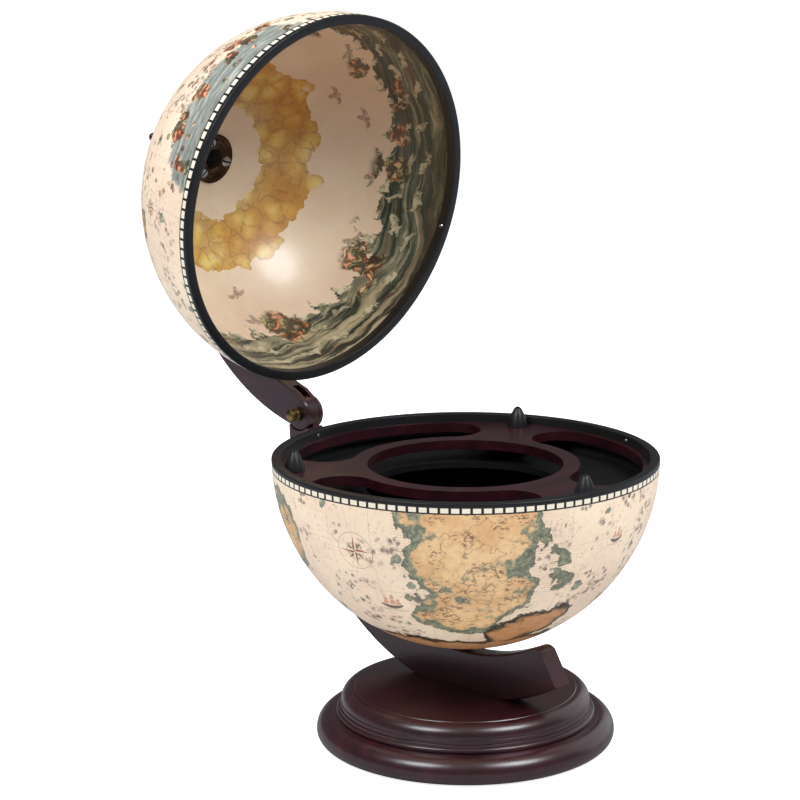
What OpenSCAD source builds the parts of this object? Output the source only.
// Tabletop globe bar: a globe that opens on a hinge and holds bottles and glasses.
// Millimetres, +Z up. The origin is on the globe's axis, on the surface that the base stands on.
// +Y points to the hinge at the back, and the hinge's axis runs along X. The lid is drawn open.

/* [Globe] */
// Outer diameter of both half globes
globe_d = 360; // [300:5:400]
// Wall thickness of the shells
shell_t = 5; // [3.5:0.5:7]
// Gap between the two rims when the lid is shut
rim_gap = 1; // [0.6:0.2:4]
// How far the bowl is turned on its pivot, in degrees
bowl_turn = -5.5; // [-30:0.5:30]

/* [Rim rings] */
// Width of the ring's lip, from the globe's outside inwards
lip_w = 9; // [8:0.5:12]
// Height of the lip on the shell's edge
lip_h = 2.5; // [2:0.25:4]
// Thickness of the skirt inside the shell
skirt_t = 2; // [1.5:0.25:2.5]
// Height of the dome ring's skirt below its lip
dome_skirt_h = 8; // [6:1:14]
// Depth of the ledge that carries the tray, inwards from the skirt
ledge_w = 5; // [3:0.5:6]
// Thickness of that ledge
ledge_t = 2.5; // [2:0.25:4]

/* [Serving tray] */
// Depth of the tray's top below the rim
tray_drop = 8; // [6:0.5:12]
// Thickness of the tray
tray_t = 9; // [6:0.5:12]
// Diameter of the round hole for the bottles
well_d = 182; // [150:2:190]
// Width of the ring between the bottle hole and the glass slots
hub_w = 15.5; // [12:0.5:20]
// Width of the tray's rim outside the glass slots
tray_rim_w = 6.2; // [5:0.2:12]
// Angle of the spoke between two glass slots
spoke_angle = 24.5; // [20:0.5:40]

/* [Locating cones] */
// Diameter of a cone at the tray
cone_d = 20; // [14:1:22]
// Height of a cone
cone_h = 20; // [14:1:24]
// Distance of the cones' outer edge from the ring's skirt
cone_inset = 1; // [0.6:0.2:6]

/* [Shelf and bottle floor] */
// Depth of the glass shelf's top below the tray's top
shelf_drop = 22; // [18:1:30]
// Thickness of the glass shelf
shelf_t = 6; // [4:0.5:9]
// Depth of the bottle floor's top below the rim
floor_drop = 112; // [100:1:120]
// Thickness of the bottle floor
floor_t = 8; // [6:0.5:12]

/* [Base] */
// Widest diameter of the base
base_d = 282; // [272:2:320]
// Height of the base
base_h = 50; // [46:1:60]
// Diameter of the flat top
base_top_d = 209; // [196:1:214]
// Height of the lower, wide plinth
plinth_h = 25; // [23:0.5:27]
// Diameter of the felt pad
felt_d = 250; // [200:2:255]
// Thickness of the felt pad
felt_t = 2; // [1.5:0.25:3]
// How far the felt stands proud of the plinth
felt_proud = 0.5; // [0.25:0.25:1]

/* [Arms] */
// Thickness of both arms across the hinge axis
arm_t = 20; // [18:1:26]
// Radial width of the arms at the poles
arm_w = 44; // [40:1:50]
// Clear space between an arm and the globe at the pole
arm_gap = 7.5; // [6:0.5:10]
// How much of the lower arm's width is cut away for the flat foot
foot_flat = 7.5; // [6:0.5:10]
// Angle from the pole to the cut end of the foot
foot_angle = 31.8; // [26:0.2:36]
// Corner radius at the inner end of the foot
foot_round = 15; // [6:1:18]
// Eased edges of the arms
edge = 1.5; // [0.5:0.25:2.5]

/* [Hinge] */
// Distance of the hinge's axis from the globe's surface
hinge_out = 37; // [33:0.5:42]
// Height of the hinge's axis above the bowl's rim
hinge_rise = 6; // [4:0.5:12]
// Diameter of the round knuckle
knuckle_d = 33; // [29:0.5:35]
// Thickness of the middle tongue
tongue_t = 7.6; // [6:0.2:9]
// Side clearance of the tongue in the fork
tongue_gap = 0.2; // [0.1:0.05:0.4]
// Distance of the lower arm's inner edge from the hinge's axis
post_in = 14.2; // [12:0.2:16]
// Distance of the upper arm's inner edge from the hinge's axis
neck_in = 20.5; // [19:0.5:23]
// Angle of the lid between shut and open
open_angle = 81; // [72:0.5:88]
// Diameter of the hinge bolt
hinge_bolt_d = 8; // [6:0.5:9]
// Diameter of the thumb knob
knob_d = 11.5; // [11:0.5:16]
// Length of the thumb knob
knob_l = 11; // [10:0.5:18]

/* [Poles] */
// Diameter of the pivot bolts
pin_d = 8; // [6:0.5:9]
// Diameter of the bearing boss
boss_d = 16; // [13:0.5:18]
// Diameter of the pole flange
flange_d = 50; // [44:1:60]
// Thickness of the pole flange
flange_t = 2.5; // [2:0.25:4]
// Outer diameter of the star washer
star_d = 21; // [16:1:24]
// Number of teeth on the star washer
star_teeth = 14; // [10:1:18]
// Height of the finial on the upper arm
finial_h = 40; // [32:1:50]
// Greatest diameter of the finial
finial_d = 18; // [14:1:22]

/* [Hidden] */

$fn = 120;

wood = "#3d1c1f";
black = "#1b1c1f";
parchment = "#ecd9bb";
brass = "#8c6c36";
bronze = "#5d4a33";
steel = "#b9babd";
felt = "#2c3a2e";

// Clearances
run_gap = 0.05;     // a shaft in its bearing, on the radius
fit_gap = 0.1;      // a bolt or stud in its hole, on the radius
seat_gap = 0.3;     // a board or a boss in its place
turn_gap = 0.2;     // between faces that turn on each other
over = 1;           // how far a cut runs past the face it leaves

// Heights and radii that everything else follows
globe_r = globe_d / 2;
inner_r = globe_r - shell_t;
foot_h = arm_w - foot_flat;
globe_z = base_h + foot_h + arm_gap + globe_r;
lid_z = globe_z + rim_gap;
arm_out_r = globe_r + arm_gap + arm_w;
far = 2 * arm_out_r;

// Hinge
hinge_y = globe_r + hinge_out;
hinge_z = globe_z + hinge_rise;
knuckle_r = knuckle_d / 2;
fork_w = tongue_t + 2 * tongue_gap;
knuckle_back = sqrt(arm_out_r * arm_out_r - hinge_rise * hinge_rise) - hinge_y;
stop_play = 1;      // degrees of play left behind the open lid
neck_h = 9;         // height over the hinge at which the arm reaches its full width
knuckle_seat_gap = 0.4;
seat_r = knuckle_r + knuckle_seat_gap;
neck_back = sqrt(arm_out_r * arm_out_r - pow(hinge_rise + neck_h, 2)) - hinge_y;
// The open lid rests on the lower arm's shoulder: on its back corner, or on the edge of the round seat
corner_drop = knuckle_back * tan((open_angle + stop_play) / 2 - atan2(hinge_rise, hinge_y));
seat_drop = seat_r * sin(open_angle + stop_play - acos(min(1, neck_back / seat_r)));
shoulder_z = hinge_z - max(corner_drop, seat_drop);
fork_depth = knuckle_r + 1.5;
low_in_y = hinge_y - post_in;
up_in_y = hinge_y - neck_in;

// Inner edge of an arm: one arc from the pole to the hinge. pole_r is its distance from the globe's
// centre at the pole, and (side_y, side_dz) is the point beside the hinge.
pole_r = globe_r + arm_gap;
function arc_shift(side_y, side_dz) =
    (side_y * side_y + side_dz * side_dz - pole_r * pole_r) / (2 * (pole_r + side_dz));
low_shift = arc_shift(low_in_y, hinge_rise);
up_shift = arc_shift(up_in_y, rim_gap - hinge_rise);
low_in_z = globe_z + low_shift;
up_in_z = lid_z - up_shift;
low_in_r = pole_r + low_shift;
up_in_r = pole_r + up_shift;

// Rim rings and what they carry, as heights below the rim
ring_in_r = globe_r - lip_w;
skirt_out_r = ring_in_r + skirt_t;
tray_under = tray_drop + tray_t;
ledge_under = tray_under + ledge_t;
tray_r = ring_in_r - seat_gap;
well_r = well_d / 2;
slot_in_r = well_r + hub_w;
slot_out_r = tray_r - tray_rim_w;
slot_w = slot_out_r - slot_in_r;
slot_mid_r = slot_in_r + slot_w / 2;
cap_step = 0.05;    // keeps the slot's round ends from touching its long sides on a line
slot_cap = 60 - spoke_angle / 2 - asin(slot_w / 2 / slot_mid_r);
cone_pitch_r = ring_in_r - cone_inset - cone_d / 2;
shelf_top = tray_drop + shelf_drop;
shelf_under = shelf_top + shelf_t;
floor_under = floor_drop + floor_t;
function wall_r(depth) = sqrt(inner_r * inner_r - depth * depth);

// Poles, as heights from the globe's centre
flange_r = flange_d / 2;
flange_low = -wall_r(flange_r) + fit_gap;
flange_top = flange_low + flange_t;
star_t = 1.2;
star_low = flange_top + turn_gap;
nut_low = star_low + star_t;
nut_t = 6;
dome_head_t = 2;    // low round head of the dome's bolt, over the star washer
nut_flats = 13;
flange_screw_r = flange_r * 0.72;

// Small fasteners
stud_d = 5;
stud_nut_flats = 8;
stud_nut_t = 4;
spacer_d = 11;
rim_screw_d = 2;
rim_screw_head_d = 4.2;
rim_screw_head_t = 1.1;
rim_screw_drop = lip_h + 2.2;
flange_screw_d = 4;
flange_screw_head_d = 11;
flange_screw_head_t = 2.4;
flange_screw_turn = -14;        // angle of the first of the three
base_screw_d = 5;
base_screw_y = 40;
screw_head_d = 9.5;
screw_head_t = 3.5;
screw_sink = 13;        // depth of the counterbore in the plinth
screw_grip = 22;        // length of the screw in the arm
pivot_head_d = 15;
pivot_head_t = 5.5;
finial_foot_d = 22;
washer_d = 15;
washer_t = 1.5;

// ---------------------------------------------------------------- shared shapes

// A shape drawn in the Y-Z plane, given a thickness across X
module across(thick) {
    rotate([90, 0, 90]) linear_extrude(thick, center = true) children();
}

// A profile (radius, height) turned about the X axis
module turned_x() {
    rotate([90, 0, 90]) rotate_extrude() children();
}

// A disc about X with eased rims, and the cutter for a hole with eased rims
module eased_disc(r, thick) {
    turned_x() polygon([[0, -thick / 2], [r - edge, -thick / 2], [r, edge - thick / 2],
                        [r, thick / 2 - edge], [r - edge, thick / 2], [0, thick / 2]]);
}
module eased_hole(r, thick) {
    turned_x() polygon([[0, -thick / 2 - over], [r + edge + over, -thick / 2 - over], [r, edge - thick / 2],
                        [r, thick / 2 - edge], [r + edge + over, thick / 2 + over], [0, thick / 2 + over]]);
}

// The curved board that an arm is cut from
module arm_board(in_z, in_r) {
    difference() {
        translate([0, 0, globe_z]) eased_disc(arm_out_r, arm_t);
        translate([0, 0, in_z]) eased_hole(in_r, arm_t);
    }
}

// A straight rod along X through the hinge's axis
module hinge_rod(d, x0, x1) {
    translate([x0, hinge_y, hinge_z]) rotate([0, 90, 0]) cylinder(d = d, h = x1 - x0);
}

// Places what belongs to the lid: shut position first, then swung open about the hinge
module opened() {
    translate([0, hinge_y, hinge_z]) rotate([-open_angle, 0, 0]) translate([0, -hinge_y, -hinge_z]) children();
}
module in_bowl() {
    translate([0, 0, globe_z]) rotate([0, 0, bowl_turn]) children();
}
module in_dome() {
    opened() translate([0, 0, lid_z]) rotate([180, 0, 0]) children();
}

// Repeats a shape on the three spokes, or on the flange's three screws
module three(first = 30) {
    for (i = [0 : 2]) rotate([0, 0, first + 120 * i]) children();
}

module hex(flats, h) {
    cylinder(d = flats / cos(30), h = h, $fn = 6);
}

// ---------------------------------------------------------------- parts of both half globes

// Lower half of a hollow globe about the origin, with a hole at the pole
module shell() {
    color(parchment) difference() {
        rotate_extrude() intersection() {
            difference() {
                circle(r = globe_r);
                circle(r = inner_r);
            }
            translate([boss_d / 2 + seat_gap, -globe_r - over]) square([globe_r, globe_r + over - lip_h]);
        }
        three(flange_screw_turn) translate([flange_screw_r, 0, -globe_r + 1.5])
            cylinder(r = flange_screw_d / 2 + fit_gap, h = 2 * shell_t);
        three(-15) translate([ring_in_r, 0, -rim_screw_drop]) rotate([0, 90, 0])
            cylinder(r = rim_screw_d / 2 + fit_gap, h = 7);
    }
}

// Rim ring: a lip on the shell's edge and a skirt inside it, skirt_h deep
module ring_body(skirt_h) {
    rotate_extrude() {
        polygon([[ring_in_r, 0], [ring_in_r, -skirt_h], [skirt_out_r, -skirt_h], [skirt_out_r, -lip_h],
                 [globe_r, -lip_h], [globe_r, -1], [globe_r - 1, -0.25], [globe_r - 2, 0]]);
    }
}
module ring_screw_holes() {
    three(-15) translate([ring_in_r - over, 0, -rim_screw_drop]) rotate([0, 90, 0])
        cylinder(r = rim_screw_d / 2 + fit_gap, h = 7 + over);
}

// Small round-headed screws that hold the ring's skirt to the shell
module ring_screws() {
    color(steel) three(-15) translate([ring_in_r, 0, -rim_screw_drop]) rotate([0, 90, 0]) {
        translate([0, 0, -rim_screw_head_t / 2]) cylinder(d = rim_screw_d, h = 6 + rim_screw_head_t / 2);
        translate([0, 0, -rim_screw_head_t - run_gap])
            cylinder(d1 = rim_screw_head_d * 0.7, d2 = rim_screw_head_d, h = rim_screw_head_t);
    }
}

// Flange inside the pole: the boss goes through the shell and turns on the pivot bolt
module flange() {
    color(bronze) difference() {
        union() {
            translate([0, 0, flange_low]) cylinder(r1 = flange_r - 0.6, r2 = flange_r, h = 0.8);
            translate([0, 0, flange_low + 0.8]) cylinder(r = flange_r, h = flange_t - 0.8);
            translate([0, 0, -globe_r]) cylinder(d = boss_d, h = globe_r + flange_low + 0.5);
        }
        translate([0, 0, -globe_r - over]) cylinder(r = pin_d / 2 + run_gap, h = 2 * shell_t + 4 * over);
        three(flange_screw_turn) translate([flange_screw_r, 0, flange_low - over])
            cylinder(r = flange_screw_d / 2 + fit_gap, h = flange_t + 2 * over);
    }
}
module flange_screws() {
    color(steel) three(flange_screw_turn) translate([flange_screw_r, 0, 0]) {
        translate([0, 0, -globe_r + 2]) cylinder(d = flange_screw_d, h = globe_r - 2 + flange_top + 0.4);
        translate([0, 0, flange_top])
            cylinder(d1 = flange_screw_head_d, d2 = flange_screw_head_d * 0.7, h = flange_screw_head_t);
    }
}

// Star washer with pointed teeth, pressed on the bolt over the flange
module star_washer() {
    step = 360 / star_teeth;
    tip_r = star_d / 2;
    root_r = tip_r - 2.6;
    color(black) translate([0, 0, star_low]) linear_extrude(star_t) difference() {
        polygon([for (i = [0 : star_teeth - 1], k = [0, 1])
                 let (a = (i + k / 2) * step, r = k == 0 ? tip_r : root_r) [r * cos(a), r * sin(a)]]);
        circle(r = pin_d / 2 + fit_gap);
    }
}

// Short tube between an arm and a pole
module pole_spacer() {
    spacer_r = boss_d / 2 - 1;
    saddle = spacer_r * spacer_r / (2 * up_in_r) + run_gap;     // the arm's curve rises this much under the spacer
    color(black) translate([0, 0, -pole_r + saddle]) difference() {
        cylinder(r = spacer_r, h = arm_gap - turn_gap - saddle);
        translate([0, 0, -over]) cylinder(r = pin_d / 2 + fit_gap, h = arm_gap + 2 * over);
    }
}

// ---------------------------------------------------------------- base

module base_felt() {
    color(felt) cylinder(d = felt_d, h = felt_t);
}

// Lower plinth: a round nose over a turned-in foot, with a crisp edge where its flat top begins
nose_r = 14.5;          // round above the widest line
toe_r = 8.3;            // turned-in round below it
nose_lip = 0.4;         // crisp step between the nose and the flat top
module base_plinth() {
    nose_x = base_d / 2 - nose_r;
    nose_z = plinth_h - nose_lip - nose_r;
    toe_z = felt_proud + toe_r;
    color(wood) difference() {
        rotate_extrude() {
            square([nose_x, plinth_h]);
            translate([0, toe_z]) square([base_d / 2, nose_z - toe_z]);
            translate([0, felt_proud]) square([base_d / 2 - toe_r, toe_r]);
            intersection() {
                translate([nose_x, nose_z]) circle(r = nose_r);
                translate([0, nose_z]) square([base_d, nose_r]);
            }
            intersection() {
                translate([base_d / 2 - toe_r, toe_z]) circle(r = toe_r);
                translate([0, felt_proud]) square([base_d, toe_r]);
            }
        }
        translate([0, 0, -over]) cylinder(d = felt_d + seat_gap, h = felt_t + over);
        translate([0, 0, -over]) cylinder(d = base_d, h = over + felt_proud);
        for (s = [-1, 1]) translate([0, s * base_screw_y, 0]) {
            cylinder(d = screw_head_d + 1.5, h = screw_sink);
            cylinder(d = base_screw_d + 0.4, h = plinth_h + over);
        }
    }
}

// Upper disc, from below: a bead, two narrow fillets, an ovolo and the flat top with a small arris
bead_r = 2.4;
fillet_w = 1.4;
fillet_h = 4;
ovolo_r = 11.8;
arris = 0.8;
module base_top() {
    ovolo_x = base_top_d / 2 + fillet_w;
    ovolo_z = base_h - arris - ovolo_r;
    fillet_x = ovolo_x + ovolo_r + fillet_w / 2;
    fillet_z = ovolo_z - fillet_w / 2 - 2 * fillet_h;
    color(wood) difference() {
        rotate_extrude() {
            translate([0, plinth_h]) square([fillet_x + fillet_w, fillet_z + fillet_h - plinth_h]);
            translate([0, plinth_h]) square([fillet_x, fillet_z + 2 * fillet_h - plinth_h]);
            translate([fillet_x + fillet_w, plinth_h + bead_r]) circle(r = bead_r);
            translate([0, plinth_h]) square([ovolo_x, base_h - arris - plinth_h]);
            intersection() {
                translate([ovolo_x, ovolo_z]) circle(r = ovolo_r);
                translate([0, ovolo_z]) square([base_d, ovolo_r]);
            }
            translate([0, base_h - 2 * arris]) square([base_top_d / 2, 2 * arris]);
        }
        for (s = [-1, 1]) translate([0, s * base_screw_y, plinth_h - over])
            cylinder(d = base_screw_d + 0.4, h = base_h);
    }
}

module base_screws() {
    color(steel) for (s = [-1, 1]) translate([0, s * base_screw_y, screw_sink]) {
        translate([0, 0, -screw_head_t]) cylinder(d = screw_head_d, h = screw_head_t);
        cylinder(d = base_screw_d, h = base_h - screw_sink + screw_grip);
    }
}

// ---------------------------------------------------------------- lower arm and its pivot

// Outline of the lower arm's board: from the cut foot round to the hinge
module lower_outline() {
    intersection() {
        polygon([[0, globe_z], [-far * sin(foot_angle), globe_z - far * cos(foot_angle)],
                 [far, globe_z - far * cos(foot_angle)], [far, hinge_z], [0, hinge_z]]);
        translate([-far, base_h]) square([2 * far, far]);
    }
}

// Distance of the inner edge from the globe's centre at an angle from the lower pole
function inner_at(a) = let (s = low_shift * cos(a))
    sqrt(s * s + low_in_r * low_in_r - low_shift * low_shift) - s;

module lower_arm() {
    color(wood) difference() {
        union() {
            difference() {
                intersection() {
                    arm_board(low_in_z, low_in_r);
                    across(arm_t + 2 * over) lower_outline();
                }
                for (s = [0, 1]) mirror([s, 0, 0])
                    translate([tongue_t / 2, 0, shoulder_z]) cube([arm_t, far, arm_t]);
            }
            across(tongue_t) translate([hinge_y, hinge_z]) circle(r = knuckle_r - 0.3);
        }
        // round seats for the fork's cheeks
        for (s = [0, 1]) mirror([s, 0, 0])
            hinge_rod(knuckle_d + 2 * knuckle_seat_gap, tongue_t / 2, arm_t);
        hinge_rod(hinge_bolt_d + 2 * run_gap, -arm_t, arm_t);
        // rounded corner of the foot
        translate([0, 0, globe_z]) rotate([-foot_angle, 0, 0]) translate([0, 0, -inner_at(foot_angle)])
            across(arm_t + 2 * over) difference() {
                translate([-2 * over, -foot_round]) square([foot_round, 2 * foot_round]);
                translate([0.9 * foot_round, -0.9 * foot_round]) circle(r = foot_round);
            }
        // pivot bolt with its head let into the foot, and the base screws
        cylinder(r = pin_d / 2 + fit_gap, h = globe_z);
        cylinder(d = pivot_head_d + 1, h = base_h + pivot_head_t + 0.5);
        for (s = [-1, 1]) translate([0, s * base_screw_y, 0])
            cylinder(d = base_screw_d + 2 * fit_gap, h = base_h + screw_grip + 2);
    }
}

module bowl_pivot_bolt() {
    top = globe_z + nut_low + nut_t + 2;
    color(steel) {
        translate([0, 0, base_h + 0.5]) cylinder(d = pivot_head_d, h = pivot_head_t);
        translate([0, 0, base_h + pivot_head_t - 0.5]) cylinder(d = pin_d, h = top - base_h - pivot_head_t + 0.5);
    }
}
module bowl_spacer() {
    translate([0, 0, globe_z]) pole_spacer();
}
module bowl_star_washer() {
    translate([0, 0, globe_z]) star_washer();
}
module bowl_pivot_nut() {
    color(steel) translate([0, 0, globe_z + nut_low]) difference() {
        hex(nut_flats, nut_t);
        translate([0, 0, -over]) cylinder(r = pin_d / 2 + fit_gap, h = nut_t + 2 * over);
    }
}

// ---------------------------------------------------------------- bowl

module bowl_shell() {
    in_bowl() shell();
}
module bowl_ring() {
    color(black) in_bowl() difference() {
        union() {
            ring_body(ledge_under);
            translate([0, 0, -ledge_under]) difference() {
                cylinder(r = ring_in_r + skirt_t / 2, h = ledge_t);
                translate([0, 0, -over]) cylinder(r = ring_in_r - ledge_w, h = ledge_t + 2 * over);
            }
        }
        ring_screw_holes();
    }
}
module bowl_rim_screws() {
    in_bowl() ring_screws();
}
module bowl_flange() {
    in_bowl() flange();
}
module bowl_flange_screws() {
    in_bowl() flange_screws();
}

// One glass slot, centred on the X axis
module slot_outline() {
    intersection() {
        difference() {
            circle(r = slot_out_r);
            circle(r = slot_in_r);
        }
        polygon([[0, 0], [2 * globe_r * cos(slot_cap), -2 * globe_r * sin(slot_cap)], [2 * globe_r, 0],
                 [2 * globe_r * cos(slot_cap), 2 * globe_r * sin(slot_cap)]]);
    }
    for (s = [-1, 1]) rotate(s * slot_cap) translate([slot_mid_r, 0]) circle(r = slot_w / 2 - cap_step);
}

module serving_tray() {
    color(wood) in_bowl() translate([0, 0, -tray_under]) difference() {
        cylinder(r = tray_r, h = tray_t);
        translate([0, 0, -over]) cylinder(r = well_r, h = tray_t + 2 * over);
        translate([0, 0, -over]) linear_extrude(tray_t + 2 * over) three(90) slot_outline();
        three() translate([cone_pitch_r, 0, -over]) cylinder(r = stud_d / 2 + fit_gap, h = tray_t + 2 * over);
    }
}

// Blunt cones that centre the lid
module locating_cones() {
    tip_r = cone_d * 0.18;
    stud_h = cone_h * 0.55;
    color(black) in_bowl() three() translate([cone_pitch_r, 0, -tray_drop]) difference() {
        rotate_extrude() {
            polygon([[0, 0], [cone_d / 2, 0], [cone_d / 2, 1.2], [cone_d * 0.42, cone_h * 0.42],
                     [tip_r * 0.97, cone_h - tip_r * 0.8], [0, cone_h - tip_r]]);
            intersection() {
                translate([0, cone_h - tip_r]) circle(r = tip_r);
                translate([0, cone_h - tip_r]) square(tip_r);
            }
        }
        translate([0, 0, -over]) cylinder(r = stud_d / 2 + fit_gap, h = stud_h + over + fit_gap);
    }
}
module shelf_studs() {
    low = shelf_under + stud_nut_t + 1;
    color(steel) in_bowl() three() translate([cone_pitch_r, 0, -low])
        cylinder(d = stud_d, h = low - tray_drop + cone_h * 0.55);
}
module shelf_spacers() {
    color(black) in_bowl() three() translate([cone_pitch_r, 0, -shelf_top]) difference() {
        cylinder(d = spacer_d, h = shelf_top - tray_under);
        translate([0, 0, -over]) cylinder(r = stud_d / 2 + fit_gap, h = shelf_top);
    }
}
module glass_shelf() {
    color(black) in_bowl() translate([0, 0, -shelf_under]) difference() {
        cylinder(r = wall_r(shelf_under) - seat_gap, h = shelf_t);
        translate([0, 0, -over]) cylinder(r = well_r + 2, h = shelf_t + 2 * over);
        three() translate([cone_pitch_r, 0, -over]) cylinder(r = stud_d / 2 + fit_gap, h = shelf_t + 2 * over);
    }
}
module shelf_nuts() {
    color(steel) in_bowl() three() translate([cone_pitch_r, 0, -shelf_under - stud_nut_t]) difference() {
        hex(stud_nut_flats, stud_nut_t);
        translate([0, 0, -over]) cylinder(r = stud_d / 2 + fit_gap, h = stud_nut_t + 2 * over);
    }
}

// Round board that the bottles stand on, wedged in the bowl by its edge
module bottle_floor() {
    color(black) in_bowl() translate([0, 0, -floor_under])
        cylinder(r1 = wall_r(floor_under) - seat_gap, r2 = wall_r(floor_drop) - seat_gap, h = floor_t);
}

// ---------------------------------------------------------------- upper arm and hinge, drawn shut

// Where the upper arm ends beyond the pole, with its corners cut back
module upper_outline() {
    end_y = -arm_w / 2;
    cut = arm_w / 4;
    top = globe_z + arm_out_r;
    low = lid_z + pole_r;
    polygon([[far, hinge_z + neck_h], [far, top + over], [end_y + cut, top + over], [end_y + cut, top],
             [end_y, top - cut], [end_y, low + cut / 2], [end_y + cut / 2, low - 2], [end_y + cut / 2, low - 9],
             [up_in_y / 2, hinge_z + neck_h]]);
}

// Neck between the board's inner edge and the round knuckle, its front drawn back by inset
module neck_outline(inset) {
    in_at_neck = sqrt(up_in_r * up_in_r - pow(hinge_z + neck_h - up_in_z, 2));
    polygon([[in_at_neck + inset, hinge_z + neck_h + 0.5],
             [hinge_y - knuckle_r * 0.9 + inset, hinge_z - knuckle_r * 0.3],
             [hinge_y + knuckle_r * 0.4, hinge_z - knuckle_r * 0.3],
             [hinge_y + knuckle_r * 0.8, hinge_z + neck_h + 0.5]]);
}

module upper_arm() {
    spot_z = globe_z + arm_out_r - 0.6;
    color(wood) opened() difference() {
        union() {
            intersection() {
                arm_board(up_in_z, up_in_r);
                across(arm_t + 2 * over) upper_outline();
            }
            translate([0, hinge_y, hinge_z]) eased_disc(knuckle_r, arm_t);
            hull() {
                across(arm_t) neck_outline(edge);
                across(arm_t - 2 * edge) neck_outline(0);
            }
        }
        // fork for the tongue
        translate([-fork_w / 2, hinge_y - 2 * knuckle_r, hinge_z - 2 * knuckle_r])
            cube([fork_w, 4 * knuckle_r, 2 * knuckle_r + fork_depth]);
        hinge_rod(hinge_bolt_d + 2 * fit_gap, -arm_t, arm_t);
        // pivot bolt, and a spot face for the finial
        translate([0, 0, lid_z]) cylinder(r = pin_d / 2 + fit_gap, h = far);
        translate([0, 0, spot_z]) cylinder(d = finial_foot_d + 3, h = arm_w / 4);
    }
}

module hinge_bolt() {
    tail = arm_t / 2 + washer_t + knob_l * 0.7;
    head = arm_t / 2 + washer_t;
    color(steel) opened() {
        hinge_rod(hinge_bolt_d, -tail, head + 0.5);
        translate([head, hinge_y, hinge_z]) turned_x() intersection() {
            translate([0, -6]) circle(r = 10);
            square([8, 4]);
        }
    }
}
module hinge_washers() {
    color(bronze) opened() for (s = [-1, 1]) difference() {
        translate([s > 0 ? arm_t / 2 : -arm_t / 2 - washer_t, hinge_y, hinge_z]) rotate([0, 90, 0])
            cylinder(d = washer_d, h = washer_t);
        hinge_rod(hinge_bolt_d + 2 * fit_gap, -arm_t, arm_t);
    }
}

// Thumb knob: a waisted neck and a fluted, domed head
module hinge_knob() {
    flutes = 12;
    start = arm_t / 2 + washer_t + turn_gap;
    head_l = knob_l * 0.62;
    dome_l = knob_l * 0.2;
    color(brass) opened() difference() {
        translate([-start, hinge_y, hinge_z]) rotate([0, -90, 0]) difference() {
            rotate_extrude() {
                polygon([[0, 0], [knob_d * 0.46, 0], [knob_d * 0.46, 1], [knob_d * 0.38, knob_l - head_l - dome_l],
                         [knob_d / 2, knob_l - head_l], [knob_d / 2, knob_l - dome_l],
                         [knob_d * 0.4, knob_l - dome_l * 0.25], [knob_d * 0.22, knob_l], [0, knob_l]]);
            }
            for (i = [0 : flutes - 1]) rotate([0, 0, 360 / flutes * i])
                translate([knob_d / 2 + 0.5, 0, knob_l - head_l - dome_l]) cylinder(r = 1, h = knob_l, $fn = 24);
        }
        hinge_rod(hinge_bolt_d + 2 * run_gap, -start - knob_l * 0.72, 0);
    }
}

// ---------------------------------------------------------------- dome pole, drawn in the dome's own frame

module dome_pivot_bolt() {
    tail = arm_out_r - rim_gap + finial_h * 0.4;
    color(black) in_dome() {
        translate([0, 0, nut_low]) cylinder(d1 = pin_d + 4, d2 = pin_d + 2, h = dome_head_t);
        translate([0, 0, -tail]) cylinder(d = pin_d, h = tail + nut_low + dome_head_t / 2);
    }
}
module dome_spacer() {
    in_dome() pole_spacer();
}
module dome_star_washer() {
    in_dome() star_washer();
}

// Turned finial: foot, cove, egg and tip ball
module finial() {
    foot_z = globe_z + arm_out_r - 0.6;
    egg_r = finial_d / 2;
    tip_r = 4.5;
    color(wood) opened() translate([0, 0, foot_z]) difference() {
        rotate_extrude() {
            difference() {
                square([finial_foot_d / 2, 9]);
                translate([finial_foot_d / 2 + 1.5, 9]) circle(r = 6.5);
            }
            intersection() {
                translate([0, 9 + egg_r * 0.75]) circle(r = egg_r);
                square([egg_r, finial_h]);
            }
            square([3.2, finial_h - tip_r]);
            intersection() {
                translate([0, finial_h - tip_r]) circle(r = tip_r);
                square([tip_r, finial_h]);
            }
        }
        translate([0, 0, -over]) cylinder(r = pin_d / 2 + fit_gap, h = over + finial_h * 0.4 + 1);
    }
}

module dome_shell() {
    in_dome() shell();
}
module dome_ring() {
    color(black) in_dome() difference() {
        ring_body(lip_h + dome_skirt_h);
        ring_screw_holes();
    }
}
module dome_rim_screws() {
    in_dome() ring_screws();
}
module dome_flange() {
    in_dome() flange();
}
module dome_flange_screws() {
    in_dome() flange_screws();
}

// ---------------------------------------------------------------- the nodes

base_felt();
base_plinth();
base_top();
base_screws();
lower_arm();
bowl_pivot_bolt();
bowl_spacer();
bowl_star_washer();
bowl_pivot_nut();
bowl_shell();
bowl_ring();
bowl_rim_screws();
bowl_flange();
bowl_flange_screws();
serving_tray();
locating_cones();
shelf_studs();
shelf_spacers();
glass_shelf();
shelf_nuts();
bottle_floor();
upper_arm();
hinge_bolt();
hinge_washers();
hinge_knob();
dome_pivot_bolt();
dome_spacer();
dome_star_washer();
finial();
dome_shell();
dome_ring();
dome_rim_screws();
dome_flange();
dome_flange_screws();
